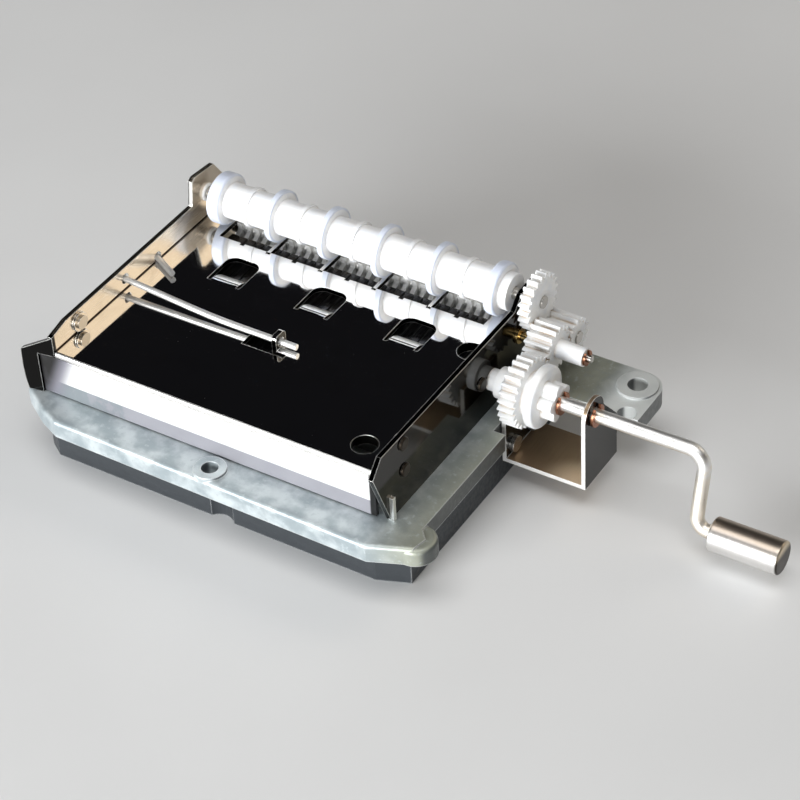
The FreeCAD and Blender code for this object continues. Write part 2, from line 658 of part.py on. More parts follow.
def make_comb():
    half_width = NOTES * NOTE_PITCH / 2
    half_tooth = (NOTE_PITCH - TOOTH_GAP) / 2
    points = []
    for note in range(NOTES):
        x = (note - (NOTES - 1) / 2) * NOTE_PITCH
        root = comb_root(x)
        points += [(x - half_tooth, root), (x - half_tooth, COMB_TIP_Y),
                   (x + half_tooth, COMB_TIP_Y), (x + half_tooth, root)]
    ends = [(points[-1][0], COMB_BACK_Y), (points[0][0], COMB_BACK_Y)]
    plate = plan(points + ends, (COMB_BOTTOM_Z, COMB_TOP_Z))
    relief_z = (COMB_BOTTOM_Z, COMB_BOTTOM_Z + COMB_RELIEF)
    relief = box((-half_width, half_width), (RAIL_Y[1] + 0.2, COMB_TIP_Y), relief_z)
    holes = [post(SCREW_R + RUNNING, x, COMB_SCREW_Y, (COMB_BOTTOM_Z, COMB_TOP_Z)) for x in COMB_SCREW_X]
    PARTS["comb"] = plate.cut([relief] + holes)


def make_comb_rail():
    rail = box((-RAIL_HALF, RAIL_HALF), RAIL_Y, (FLANGE_TOP_Z, COMB_BOTTOM_Z))
    holes = [post(SCREW_R + RUNNING, x, COMB_SCREW_Y, (FLANGE_TOP_Z, COMB_BOTTOM_Z)) for x in COMB_SCREW_X]
    PARTS["comb_rail"] = rail.cut(holes)


def make_comb_weights():
    """Lead weights under the tips of the low notes."""
    tooth_bottom = COMB_BOTTOM_Z + COMB_RELIEF
    weights = []
    for note in range(WEIGHTED_NOTES):
        x = (note - (NOTES - 1) / 2) * NOTE_PITCH
        depth = WEIGHT_DEPTH - WEIGHT_STEP * note
        zs = (tooth_bottom - depth, tooth_bottom)
        weights.append(box((x - WEIGHT_HALF, x + WEIGHT_HALF), WEIGHT_Y, zs))
    PARTS["comb_weights"] = Part.makeCompound(weights)


def star(x):
    """Thin star wheel with a wide hub that spaces it from its neighbours."""
    points = []
    for index in range(2 * STAR_POINTS):
        radius = STAR_R if index % 2 == 0 else STAR_ROOT_R
        points.append(polar(radius, math.pi * index / STAR_POINTS))
    face = Part.Face(Part.makePolygon(points + points[:1]))
    disc = across(face.extrude(Vector(0, 0, STAR_WIDTH)), x - STAR_WIDTH / 2, DRIVE_Y, DRIVE_Z)
    hub_xs = (x - STAR_HUB_WIDTH / 2, x + STAR_HUB_WIDTH / 2)
    hub = rod(STAR_HUB_R, hub_xs, DRIVE_Y, DRIVE_Z)
    return merge([disc, hub]).cut(rod(SHAFT_R + RUNNING, (x - 2, x + 2), DRIVE_Y, DRIVE_Z))


def make_star_wheels():
    for bay, centre in enumerate(bay_centres(), 1):
        offsets = [(note - (NOTES_PER_BAY - 1) / 2) * NOTE_PITCH for note in range(NOTES_PER_BAY)]
        PARTS[f"star_wheels_{bay}"] = Part.makeCompound([star(centre + offset) for offset in offsets])


def make_drive_shaft():
    collar_x = NOTES * NOTE_PITCH / 2 + 0.1
    shapes = [rod(SHAFT_R, (SHAFT_LEFT_X, PINION_X[1] + 0.3), DRIVE_Y, DRIVE_Z)]
    for xs in ((-collar_x - COLLAR_WIDTH, -collar_x), (collar_x, collar_x + COLLAR_WIDTH)):
        shapes.append(rod(STAR_HUB_R, xs, DRIVE_Y, DRIVE_Z))
    PARTS["drive_shaft"] = merge(shapes)
    phase = meshed_phase(IDLER_TEETH, idler_phase(), (IDLER_Y, IDLER_Z), PINION_TEETH, (DRIVE_Y, DRIVE_Z))
    pinion = gear_blank(PINION_TEETH, phase, PINION_X, DRIVE_Y, DRIVE_Z)
    PARTS["drive_pinion"] = pinion.cut(rod(SHAFT_R + FIXED, PINION_X, DRIVE_Y, DRIVE_Z))


def idler_phase():
    return meshed_phase(CRANK_TEETH, 0.0, (CRANK_Y, CRANK_Z), IDLER_TEETH, (IDLER_Y, IDLER_Z))


def roller_phase():
    pinion = meshed_phase(IDLER_TEETH, idler_phase(), (IDLER_Y, IDLER_Z), PINION_TEETH, (DRIVE_Y, DRIVE_Z))
    return meshed_phase(PINION_TEETH, pinion, (DRIVE_Y, DRIVE_Z), ROLLER_TEETH, (ROLLER_Y, ROLLER_Z))


def make_roller():
    shapes = [rod(CORE_R, ROLLER_X, ROLLER_Y, ROLLER_Z)]
    for boundary in range(1, BAYS):
        x = (boundary - BAYS / 2) * BAY_PITCH
        shapes.append(rod(RING_R, (x - RING_WIDTH / 2, x + RING_WIDTH / 2), ROLLER_Y, ROLLER_Z))
    for x in bay_centres():
        shapes.append(rod(NUB_R, (x - NUB_WIDTH / 2, x + NUB_WIDTH / 2), ROLLER_Y, ROLLER_Z))
    for xs in ((ROLLER_X[0], -DRUM_X), (DRUM_X, DRUM_END_X)):
        drum = rod(RING_R, xs, ROLLER_Y, ROLLER_Z)
        shapes.append(drum.makeFillet(0.5, [edge for edge in drum.Edges if edge.BoundBox.XLength < 0.1]))
    bore = rod(SHAFT_R + FIXED, (-36, 36), ROLLER_Y, ROLLER_Z)
    PARTS["press_roller"] = merge(shapes).cut(bore)
    PARTS["roller_shaft"] = rod(SHAFT_R, (SHAFT_LEFT_X, ROLLER_GEAR_X[1] + 0.4), ROLLER_Y, ROLLER_Z)
    gear = gear_blank(ROLLER_TEETH, roller_phase(), ROLLER_GEAR_X, ROLLER_Y, ROLLER_Z)
    PARTS["roller_gear"] = gear.cut(rod(SHAFT_R + FIXED, ROLLER_GEAR_X, ROLLER_Y, ROLLER_Z))


def make_bushes():
    for name, y, z in (("roller", ROLLER_Y, ROLLER_Z), ("drive_shaft", DRIVE_Y, DRIVE_Z)):
        bushes = [tube(BUSH_R, SHAFT_R + RUNNING, xs, y, z) for xs in ((-36.8, -35.0), (35.0, 36.8))]
        PARTS[f"{name}_bushes"] = Part.makeCompound(bushes)
    x = 35.1
    steps = []
    for radius, end_x in ((CRANK_BUSH_R, SIDE_OUTER), CRANK_BUSH_COLLAR, CRANK_BUSH_FLANGE):
        steps.append(tube(radius, ROD_R + RUNNING, (x, end_x), CRANK_Y, CRANK_Z))
        x = end_x
    PARTS["crank_bush"] = merge(steps)


def make_shaft_clips():
    for name, y, z in (("roller_clip", ROLLER_Y, ROLLER_Z), ("drive_shaft_clip", DRIVE_Y, DRIVE_Z)):
        PARTS[name] = clip(-37.5, y, z, SHAFT_R + FIXED, 2.3, 0.5)


def make_idler():
    bore = rod(PIN_R + RUNNING, (SIDE_OUTER, PIN_END_X), IDLER_Y, IDLER_Z)
    gear = gear_blank(IDLER_TEETH, idler_phase(), IDLER_GEAR_X, IDLER_Y, IDLER_Z)
    hub = rod(IDLER_HUB_R, (IDLER_GEAR_X[0], IDLER_HUB_END_X), IDLER_Y, IDLER_Z)
    PARTS["idler_gear"] = merge([gear, hub]).cut(bore)
    pin = rod(PIN_R, (CHANNEL_HALF, PIN_END_X), IDLER_Y, IDLER_Z)
    tip = [edge for edge in pin.Edges if edge.BoundBox.XMin > PIN_END_X - TOLERANCE]
    PARTS["idler_pin"] = pin.makeFillet(0.25, tip)
    wide_xs = (SIDE_OUTER, SPACER_STEP_X)
    slim_xs = (SPACER_STEP_X, IDLER_GEAR_X[0] - 0.2)
    PARTS["idler_spacer"] = merge([tube(1.6, PIN_R + FIXED, wide_xs, IDLER_Y, IDLER_Z),
                                   tube(0.98, PIN_R + FIXED, slim_xs, IDLER_Y, IDLER_Z)])
    PARTS["idler_clip"] = clip(IDLER_CLIP_X, IDLER_Y, IDLER_Z, PIN_R + FIXED, 1.5, 0.4)


def make_crank_gear():
    gear = gear_blank(CRANK_TEETH, 0.0, CRANK_GEAR_X, CRANK_Y, CRANK_Z)
    neck = rod(CRANK_NECK_R, (CRANK_GEAR_X[1], CRANK_DISC_X[0]), CRANK_Y, CRANK_Z)
    disc = rod(CRANK_DISC_R, CRANK_DISC_X, CRANK_Y, CRANK_Z)
    disc = disc.makeFillet(0.5, [edge for edge in disc.Edges if edge.BoundBox.XLength < 0.1])
    hub_xs = (CRANK_DISC_X[1], CRANK_HUB_END_X)
    hub = [rod(CRANK_HUB_R, hub_xs, CRANK_Y, CRANK_Z)]
    for lobe in range(CRANK_LOBES):
        centre = polar(CRANK_LOBE_REACH, 2 * math.pi * (lobe + CRANK_LOBE_TURN) / CRANK_LOBES)
        hub.append(rod(CRANK_LOBE_R, hub_xs, CRANK_Y + centre.x, CRANK_Z + centre.y))
    shape = merge([gear, neck, disc] + hub)
    bore = rod(ROD_R + FIXED, (CRANK_GEAR_X[0], CRANK_HUB_END_X), CRANK_Y, CRANK_Z)
    PARTS["crank_gear"] = shape.cut(bore)


def make_crank():
    points = [Vector(CRANK_START_X, CRANK_Y, CRANK_Z), Vector(ARM_X, CRANK_Y, CRANK_Z),
              Vector(ARM_X, KNOB_Y, KNOB_Z), Vector(CRANK_END_X, KNOB_Y, KNOB_Z)]
    PARTS["crank_rod"] = bent_bar(points, [CRANK_BEND_R, KNOB_BEND_R], ROD_R)
    clips = [clip(x, CRANK_Y, CRANK_Z, ROD_R + FIXED, CRANK_CLIP_R, 0.5) for x in CRANK_CLIP_X]
    PARTS["crank_clips"] = Part.makeCompound(clips)
    knob = rod(KNOB_R, KNOB_X, KNOB_Y, KNOB_Z)
    rims = [edge for edge in knob.Edges if edge.BoundBox.XLength < 0.1]
    knob = knob.makeFillet(KNOB_RIM_R, rims)
    bore = rod(ROD_R + RUNNING, (KNOB_X[0], KNOB_BORE_END_X), KNOB_Y, KNOB_Z)
    PARTS["crank_knob"] = knob.cut(bore)


def make_bracket():
    """U bracket: a left wall on the base, a floor and a right wall with the crank's ear."""
    ys = BRACKET_Y
    floor_top = BRACKET_FLOOR_Z + BRACKET_SHEET
    floor = box(BRACKET_X, ys, (BRACKET_FLOOR_Z, floor_top))
    left = box((BRACKET_X[0], BRACKET_X[0] + BRACKET_SHEET), ys, (BRACKET_FLOOR_Z, BRACKET_LEFT_TOP_Z))
    right_xs = (BRACKET_X[1] - BRACKET_SHEET, BRACKET_X[1])
    outline = [(ys[0], BRACKET_FLOOR_Z), (ys[1], BRACKET_FLOOR_Z), (ys[1], 14.0),
               (CRANK_Y + CRANK_EAR_R, CRANK_Z), (ys[0], CRANK_Z)]
    ear = rod(CRANK_EAR_R, right_xs, CRANK_Y, CRANK_Z)
    shape = merge([floor, left, profile(outline, right_xs), ear])
    holes = [rod(ROD_R + RUNNING, right_xs, CRANK_Y, CRANK_Z)]
    for y in BRACKET_SCREW_Y:
        holes.append(rod(SCREW_R + RUNNING, (RECESS_X, BRACKET_X[0] + 1), y, BRACKET_SCREW_Z))
    PARTS["gear_bracket"] = shape.cut(holes)


def make_wire():
    """Sprung wire that holds the paper down: a short leg, an outside run and a long leg."""
    outside_x = -SIDE_OUTER - WIRE_R - 0.6
    outside = [Vector(outside_x, y, z) for y, z in WIRE_OUTSIDE]
    points = [Vector(*WIRE_SHORT_END)] + outside + [
        Vector(-14.0, WIRE_Y - 0.1, 24.85), Vector(3.8, WIRE_Y, WIRE_Z - 0.05)]
    PARTS["paper_wire"] = bent_bar(points, [WIRE_BEND_R, WIRE_BEND_R, WIRE_SWEEP_R], WIRE_R)


def main():
    make_base()
    make_left_side_plate()
    make_right_side_plate()
    make_top_plate()
    make_front_apron()
    make_rivets()
    make_screws()
    make_comb()
    make_comb_rail()
    make_comb_weights()
    make_star_wheels()
    make_drive_shaft()
    make_roller()
    make_bushes()
    make_shaft_clips()
    make_idler()
    make_crank_gear()
    make_crank()
    make_bracket()
    make_wire()
    os.makedirs("parts", exist_ok=True)
    for name, shape in PARTS.items():
        shape.exportStep(f"parts/{name}.step")
        print(name, len(shape.Solids), round(shape.Volume, 1), shape.isValid())


main()
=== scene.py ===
import bpy
from mathutils import Matrix, Vector

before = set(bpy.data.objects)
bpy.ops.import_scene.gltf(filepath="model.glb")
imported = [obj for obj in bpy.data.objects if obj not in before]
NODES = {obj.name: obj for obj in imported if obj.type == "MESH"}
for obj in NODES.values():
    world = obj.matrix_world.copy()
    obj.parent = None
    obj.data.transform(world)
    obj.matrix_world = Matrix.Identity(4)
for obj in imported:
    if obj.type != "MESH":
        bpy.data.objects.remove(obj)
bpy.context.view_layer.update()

MM = 0.001

# The camera, found from the photograph: its place in millimetres, and its own right, up and back directions
CAMERA_PLACE = Vector((219.343, -290.808, 306.645))
CAMERA_RIGHT = Vector((0.845355, 0.531489, -0.053796))
CAMERA_UP = Vector((-0.300436, 0.556278, 0.774786))
CAMERA_BACK = Vector((0.441715, -0.638807, 0.629931))
CAMERA_LENS = 112.91
CAMERA_SHIFT = (0.026855, -0.027557)
CAMERA_CLIP = (0.01, 20.0)

# Soft lights: place and size in metres, power in watts and colour, all turned to one point of the object
LIGHT_TARGET = Vector((0.01, 0.0, 0.015))
LIGHTS = {
    "front_box": ((-0.16, -1.05, 0.24), (1.20, 0.42), 23.0, (0.96, 0.98, 1.0)),
    "top_box": ((0.05, -0.20, 0.95), (0.80, 0.50), 4.2, (1.0, 1.0, 1.0)),
    "warm_box": ((0.36, 0.52, 0.50), (0.40, 0.34), 0.75, (1.0, 0.90, 0.76)),
}

# The room: the height of a direction, where 1 is straight up, and its colour with alpha
WALLS = (0.20, (0.55, 0.55, 0.54, 1.0))
OVERHEAD = (0.36, (0.006, 0.006, 0.007, 1.0))

# The floor: half its side in metres, and its tones
FLOOR_HALF = 3.0
FLOOR_DARK = (0.74, 0.74, 0.735)
FLOOR_LIGHT = (0.79, 0.79, 0.785)

# Colours, linear
ZINC_DARK = (0.33, 0.38, 0.40)
ZINC_LIGHT = (0.56, 0.61, 0.62)
ZINC_OLIVE = (0.36, 0.37, 0.29)
ZINC_SHADE = (0.050, 0.056, 0.062)
ZINC_PALE = (0.74, 0.76, 0.74)
# Wear and a painted highlight on the casting's edges
ZINC_WEAR_AND_HIGHLIGHT = (0.78, 0.80, 0.80)
RAIL_DARK = (0.30, 0.32, 0.33)
RAIL_LIGHT = (0.52, 0.53, 0.53)
# Painted light: a rim highlight, black and near black for painted shade and dark reflections, a warm painted
# reflection, and white for painted highlights
RIM_HIGHLIGHT = (0.78, 0.76, 0.72)
SHADE_AND_REFLECTION_BLACK = (0.012, 0.0115, 0.011)
SHADE_AND_REFLECTION_DARK = (0.022, 0.021, 0.018)
WARM_REFLECTION_CLOUD = (0.065, 0.058, 0.042)
HIGHLIGHT_WHITE = (0.97, 0.96, 0.93)
TABLE_CLEAN = (0.80, 0.795, 0.785)
TABLE_TARNISH = (0.72, 0.71, 0.69)
APRON_DARK = (0.84, 0.84, 0.83)
APRON_LIGHT = (0.94, 0.94, 0.93)
# Lilac and slate: the apron's painted reflection and painted shade, and lilac also its tarnish
LILAC = (0.23, 0.225, 0.26)
SLATE = (0.13, 0.16, 0.18)
# Painted light on the left plate: tan for a warm reflection, then dark tones for a painted shadow line
TAN_LIGHT = (0.78, 0.69, 0.57)
TAN_DARK = (0.56, 0.48, 0.38)
SHADOW_LINE_LIGHT = (0.10, 0.07, 0.045)
SHADOW_LINE_DARK = (0.05, 0.035, 0.02)
# Painted light in the bracket: brown for a warm reflection, then a painted pool of warm light
BROWN_LIGHT = (0.34, 0.24, 0.15)
BROWN_DARK = (0.19, 0.13, 0.08)
GLOW_LIGHT = (0.98, 0.78, 0.55)
GLOW_DARK = (0.80, 0.60, 0.40)
# Rivet tones: tan as a painted warm reflection, and a painted dark reflection for the right side plate
RIVET_LIGHT = (0.78, 0.70, 0.58)
RIVET_DARK = (0.56, 0.48, 0.38)
RIVET_DARK_REFLECTION = (0.07, 0.055, 0.04)
WIRE_LIGHT = (0.98, 0.97, 0.95)
WIRE_DARK = (0.88, 0.87, 0.85)
ROD_LIGHT = (0.96, 0.95, 0.93)
ROD_DARK = (0.86, 0.85, 0.83)
# Painted gold reflection and painted underside shade on the rod, then real wear
ROD_GOLD_REFLECTION = (0.80, 0.66, 0.44)
ROD_UNDER_SHADE = (0.50, 0.37, 0.23)
ROD_WORN = (0.36, 0.27, 0.18)
KNOB_LIGHT = (0.82, 0.81, 0.79)
KNOB_DARK = (0.72, 0.70, 0.68)
KNOB_WARM = (0.70, 0.62, 0.50)
# Painted reflections and shade on the knob's top and end
KNOB_TOP_REFLECTION = (0.40, 0.31, 0.23)
KNOB_END_SHADE = (0.05, 0.042, 0.036)
KNOB_END_TAN_REFLECTION = (0.62, 0.52, 0.38)
NYLON = (0.90, 0.90, 0.89)
NYLON_ROLLER = (0.92, 0.92, 0.92)
NYLON_COOL = (0.80, 0.83, 0.88)
# Painted blue grey shade on the roller's rings, and painted tan shade in nylon corners
NYLON_RING_SHADE = (0.60, 0.66, 0.80)
CORNER_SHADE_TAN = (0.62, 0.47, 0.30)
# Comb tones kept near black as painted shade under the table
COMB_LIGHT = (0.10, 0.10, 0.105)
COMB_DARK = (0.045, 0.047, 0.052)
COMB_STRAW = (0.09, 0.07, 0.045)
LEAD_LIGHT = (0.36, 0.37, 0.39)
LEAD_DARK = (0.20, 0.21, 0.23)
SCREW_LIGHT = (0.60, 0.58, 0.55)
SCREW_DARK = (0.34, 0.33, 0.31)
# Painted shade in the screw slots
SCREW_SLOT_SHADE = (0.10, 0.09, 0.08)
# Near white star wheel tones: a painted highlight standing in for bright light on steel
STAR_LIGHT = (0.97, 0.97, 0.95)
STAR_DARK = (0.80, 0.79, 0.77)
SHAFT_LIGHT = (0.72, 0.70, 0.67)
SHAFT_DARK = (0.42, 0.40, 0.37)
COPPER_LIGHT = (0.52, 0.25, 0.15)
COPPER_DARK = (0.24, 0.09, 0.05)
BRASS_LIGHT = (0.84, 0.62, 0.28)
BRASS_DARK = (0.46, 0.30, 0.10)

# Places where a tone sets in, in millimetres along one axis: none of it at the first, all of it at the second
OLIVE_START = (34.0, 44.0)
OLIVE_END = (49.0, 55.0)
LUG_START = (50.0, 56.0)
FOOT_TOP = (10.0, 9.6)
TONGUE_TOP = (23.58, 23.54)
TONGUE_BACK = (11.5, 11.0)
CREASE_FRONT = (6.9, 7.0)
CREASE_BACK = (7.4, 7.3)
BEHIND_TABLE_FRONT = (-25.0, -24.8)
APRON_LOW = (17.1, 16.9)
APRON_SLATE = (-18.0, -30.0)
APRON_RIGHT_END = (32.6, 33.0)
APRON_LILAC_END = (-39.5, -43.5)
APRON_BLACK_END = (-42.5, -46.0)
# Where the left plate's painted shadow line lies
SHADOW_LINE_TOP = (24.0, 23.9)
SHADOW_LINE_BOTTOM = (23.3, 23.4)
WING_SIDE = (-36.1, -36.4)
WING_FRONT = (-25.1, -25.4)
# Where the bracket's painted pool of warm light lies
GLOW_ACROSS = (40.0, 58.0)
GLOW_DOWN = (16.0, 4.0)
GLOW_FORWARD = (18.0, 7.0)
TAB_SIDE = (36.55, 36.65)
TAB_FRONT = (-24.6, -24.7)
RIGHT_RIVETS = (36.0, 36.4)
ROD_LOW = (17.2, 15.0)
KNOB_END = (95.9, 96.3)
KNOB_END_TOP = (6.2, 8.0)
RING_OUTSIDE = (4.6, 5.0)

# The same for one part of the surface's direction, which runs from -1 to 1
FACES_RIGHT = (0.5, 0.8)
FOOT_FACES_RIGHT = (0.55, 0.85)
STANDS_UPRIGHT = (0.5, 0.3)
FACES_FRONT = (-0.80, -0.95)
FACES_STRAIGHT_FRONT = (-0.96, -0.99)
ROD_FACES_DOWN = (0.0, -0.7)
KNOB_FACES_UP = (0.55, 0.95)

# The same for how well softened and true directions agree along an edge, and for the light in a corner
EDGE_AGREES = (0.98, 0.80)
CORNER_LIGHT = (0.75, 0.25)

# The roller's axis in Y and Z, for the painted shade on its rings, and how far the apron's painted slate
# reflection wanders in X, in millimetres
ROLLER_AXIS = (23.6, 28.9)
APRON_MOTTLE = 6.0

# How far the painted shade on the apron's left end leans in X, for each millimetre of height
APRON_LEAN = -0.45

# How light spreads below the nylon's surface: red, green and blue, and the depth in millimetres
NYLON_SPREAD = (1.0, 0.95, 0.9)
NYLON_DEPTH = 1.2

# Most of a noise lies between these values
NOISE_SPAN = (0.3, 0.7)

# Rays that a bevel or a corner node takes at each point
NODE_SAMPLES = 6


class Paint:
    """A Principled material, with helpers that add nodes. Sizes are in millimetres on the object."""

    def __init__(self, name, metallic=0.0):
        self.material = bpy.data.materials.new(name)
        self.material.use_nodes = True
        self.nodes = self.material.node_tree.nodes
        self.links = self.material.node_tree.links
        self.surface = self.nodes["Principled BSDF"]
        self.surface.inputs["Metallic"].default_value = metallic
        self.place = self.nodes.new("ShaderNodeTexCoord").outputs["Object"]
        self.normal = None

    def node(self, kind, **inputs):
        """Add a node. Inputs are values or other nodes' outputs, named by their sockets."""
        made = self.nodes.new(kind)
        for key, value in inputs.items():
            self.feed(made.inputs[key], value)
        return made

    def feed(self, socket, value):
        """Link an output to a socket, or set the socket to a colour or a number."""
        if isinstance(value, bpy.types.NodeSocket):
            self.links.new(value, socket)
        elif socket.type == "RGBA":
            socket.default_value = (*value, 1.0)
        else:
            socket.default_value = value

    def stretched(self, stretch, shift):
        """The object's own coordinates, drawn out along an axis and shifted."""
        scale = tuple(1.0 / amount for amount in stretch)
        made = self.node("ShaderNodeMapping", Vector=self.place, Location=(shift * MM,) * 3, Scale=scale)
        return made.outputs["Vector"]

    def noise(self, size, detail=3.0, stretch=(1, 1, 1), shift=0.0):
        """Clouds from 0 to 1, or streaks where they are drawn out along an axis."""
        where = self.stretched(stretch, shift)
        made = self.node("ShaderNodeTexNoise", Vector=where, Scale=1.0 / (size * MM), Detail=detail)
        return made.outputs["Fac"]

    def cells(self, size, shift=0.0):
        """Distance to the nearest of many scattered points."""
        where = self.stretched((1, 1, 1), shift)
        made = self.node("ShaderNodeTexVoronoi", Vector=where, Scale=1.0 / (size * MM))
        return made.outputs["Distance"]

    def within(self, value, limits, low=0.0, high=1.0):
        """Low at the first limit, high at the second, smooth between them."""
        made = self.node("ShaderNodeMapRange")
        for index, given in enumerate((value, *limits, low, high)):
            self.feed(made.inputs[index], given)
        made.interpolation_type = "SMOOTHSTEP"
        return made.outputs["Result"]

    def vary(self, noise, low, high):
        """Spread a noise over a range of values."""
        return self.within(noise, NOISE_SPAN, low, high)

    def combine(self, operation, first, second=0.0):
        """One sum on two numbers, or on the first alone."""
        made = self.nodes.new("ShaderNodeMath")
        made.operation = operation
        self.feed(made.inputs[0], first)
        self.feed(made.inputs[1], second)
        return made.outputs["Value"]

    def plus(self, first, second):
        return self.combine("ADD", first, second)

    def minus(self, first, second):
        return self.combine("SUBTRACT", first, second)

    def times(self, first, second):
        return self.combine("MULTIPLY", first, second)

    def larger(self, first, second):
        return self.combine("MAXIMUM", first, second)

    def blend(self, share, first, second):
        """Mix two colours: the first where the share is 0, the second where it is 1."""
        made = self.nodes.new("ShaderNodeMix")
        made.data_type = "RGBA"
        self.feed(made.inputs["Factor"], share)
        self.feed(made.inputs[6], first)
        self.feed(made.inputs[7], second)
        return made.outputs[2]

    def axis(self, name):
        """One coordinate of the point on the object, in metres."""
        return self.node("ShaderNodeSeparateXYZ", Vector=self.place).outputs[name]

    def facing(self, name):
        """One part of the surface's direction on the object."""
        normal = self.nodes.new("ShaderNodeTexCoord").outputs["Normal"]
        return self.node("ShaderNodeSeparateXYZ", Vector=normal).outputs[name]

    def between(self, value, places, low=0.0, high=1.0):
        """The same as within, for a value in metres and limits in millimetres."""
        return self.within(value, [place * MM for place in places], low, high)

    def along(self, name, places, low=0.0, high=1.0):
        """A tone that sets in between two places along an axis."""
        return self.between(self.axis(name), places, low, high)

    def toward(self, name, limits, high=1.0):
        """A tone that sets in as the surface turns along an axis."""
        return self.within(self.facing(name), limits, high=high)

    def edges(self, radius):
        """1 along sharp edges, 0 on faces."""
        soft = self.bevel(radius)
        true = self.nodes.new("ShaderNodeNewGeometry").outputs["Normal"]
        dot = self.nodes.new("ShaderNodeVectorMath")
        dot.operation = "DOT_PRODUCT"
        self.links.new(soft, dot.inputs[0])
        self.links.new(true, dot.inputs[1])
        return self.within(dot.outputs["Value"], EDGE_AGREES)

    def corners(self, reach):
        """1 in narrow corners, 0 in the open."""
        made = self.node("ShaderNodeAmbientOcclusion", Distance=reach * MM)
        made.samples = NODE_SAMPLES
        return self.within(made.outputs["AO"], CORNER_LIGHT)

    def bevel(self, radius):
        """The surface's direction, as if its edges were rounded."""
        made = self.nodes.new("ShaderNodeBevel")
        made.samples = NODE_SAMPLES
        made.inputs["Radius"].default_value = radius * MM
        return made.outputs["Normal"]

    def rounded(self, radius):
        """Soft edges for the highlights."""
        self.normal = self.bevel(radius)

    def raise_by(self, height, depth):
        """Bump of a given depth in millimetres."""
        made = self.node("ShaderNodeBump", Height=height, Distance=depth * MM)
        if self.normal is not None:
            self.links.new(self.normal, made.inputs["Normal"])
        self.normal = made.outputs["Normal"]

    def finish(self, colour, roughness):
        """Link what was made to the shader, and give the material."""
        self.feed(self.surface.inputs["Base Color"], colour)
        self.feed(self.surface.inputs["Roughness"], roughness)
        if self.normal is not None:
            self.links.new(self.normal, self.surface.inputs["Normal"])
        return self.material


def die_cast_zinc():
    """Rough blue grey casting, mottled and pitted: olive on the right, pale lug, painted shade on the foot
    and on faces turned right, and worn edges with a painted highlight.
    """
    paint = Paint("die_cast_zinc")
    clouds = paint.within(paint.noise(size=4.5, detail=6.0), (0.36, 0.66))
    colour = paint.blend(clouds, ZINC_DARK, ZINC_LIGHT)
    olive = paint.minus(paint.along("X", OLIVE_START, high=0.85), paint.along("X", OLIVE_END, high=0.75))
    colour = paint.blend(olive, colour, ZINC_OLIVE)
    flecks = paint.noise(size=0.9, detail=4.0, shift=31.0)
    colour = paint.blend(paint.within(flecks, (0.56, 0.74), high=0.55), colour, ZINC_LIGHT)
    colour = paint.blend(paint.within(flecks, (0.44, 0.28), high=0.35), colour, ZINC_DARK)
    pits = paint.within(paint.cells(size=2.3), (0.12, 0.05))
    colour = paint.blend(paint.times(pits, 0.4), colour, ZINC_DARK)
    colour = paint.blend(paint.along("X", LUG_START, high=0.8), colour, ZINC_PALE)
    paint.feed(paint.surface.inputs["Metallic"], paint.along("X", LUG_START, low=0.45, high=0.10))
    # Painted shade on the low foot and on faces that turn right, away from the lights
    shaded = paint.larger(paint.along("Z", FOOT_TOP), paint.toward("X", FOOT_FACES_RIGHT, high=0.85))
    colour = paint.blend(shaded, colour, ZINC_SHADE)
    # Edges lighter from wear and as a painted highlight
    colour = paint.blend(paint.times(paint.edges(radius=0.5), 0.7), colour, ZINC_WEAR_AND_HIGHLIGHT)
    paint.rounded(radius=0.25)
    paint.raise_by(paint.noise(size=3.4, detail=2.0, stretch=(2.5, 1, 1)), depth=0.05)
    paint.raise_by(paint.noise(size=0.28), depth=0.022)
    paint.raise_by(paint.minus(1.0, pits), depth=0.03)
    return paint.finish(colour, paint.vary(flecks, 0.34, 0.52))


def machined_zinc():
    """Comb rail: cast zinc with milled lines along its length."""
    paint = Paint("machined_zinc", metallic=0.85)
    lines = paint.noise(size=0.35, detail=2.0, stretch=(60, 1, 1))
    colour = paint.blend(lines, RAIL_DARK, RAIL_LIGHT)
    paint.rounded(radius=0.2)
    paint.raise_by(lines, depth=0.02)
    return paint.finish(colour, paint.vary(lines, 0.30, 0.45))


def smudge_and_reflection_clouds(paint, colour, cloud_tone, amount):
    """Faint smudges and tarnishing clouds over a plated colour; on the right side plate the clouds are a
    painted warm reflection.
    """
    cloud = paint.within(paint.noise(size=7.0, detail=4.0, shift=12.0), (0.48, 0.72), high=amount)
    return paint.blend(cloud, colour, cloud_tone)


